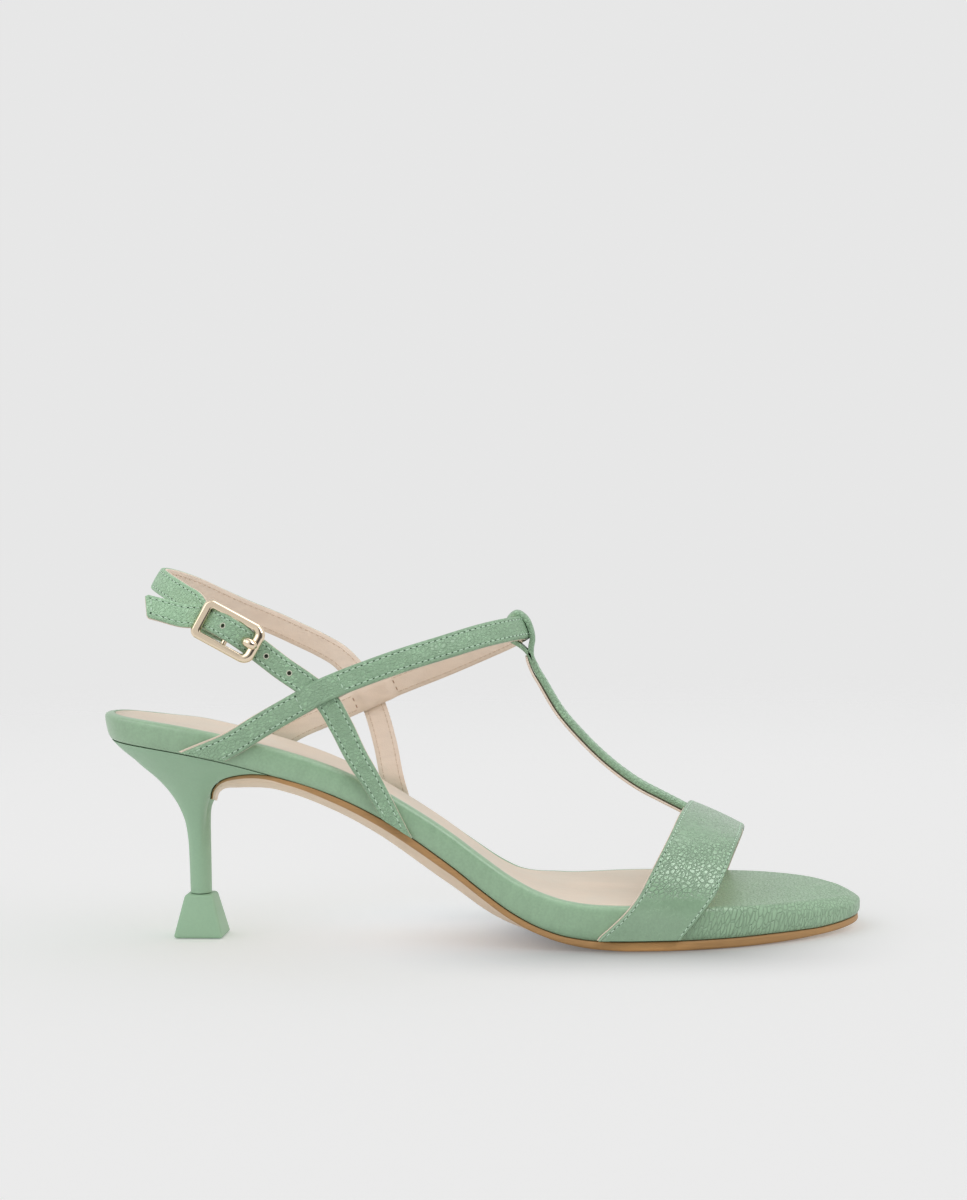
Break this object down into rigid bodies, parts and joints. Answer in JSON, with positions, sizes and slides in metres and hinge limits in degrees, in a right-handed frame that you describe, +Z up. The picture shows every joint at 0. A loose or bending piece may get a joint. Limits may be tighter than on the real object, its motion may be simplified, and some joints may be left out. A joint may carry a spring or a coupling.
{
  "type": "heeled sandal",
  "caption": "Open-toe T-bar sandal for a right foot: slim straps with an ankle buckle over a leather-covered sole on a flared, slender mid-height heel.",
  "frame": {"origin": "on the floor under the middle of the shoe's bounding box", "axes": "+X from the heel to the toe, +Y to the inner side of the foot, +Z up"},
  "size_m": [0.231, 0.0818, 0.1128],
  "materials": {
    "outsole": "burnished edge, plain pale underside",
    "insole_board": "satin, finely grained",
    "sock_lining": "smooth, matt",
    "heel": "smooth satin wrap",
    "heel_top_piece": "satin",
    "upper": "grained, soft sheen",
    "buckle_frame": "pale gold, polished",
    "buckle_prong": "pale gold, polished"
  },
  "bodies": {
    "root": {"outsole": "outsole", "insole_board": "insole_board", "sock_lining": "sock_lining", "heel": "heel", "heel_top_piece": "heel_top_piece", "upper": "upper", "buckle_frame": "buckle_frame", "buckle_prong": "buckle_prong"}
  },
  "joints": []
}
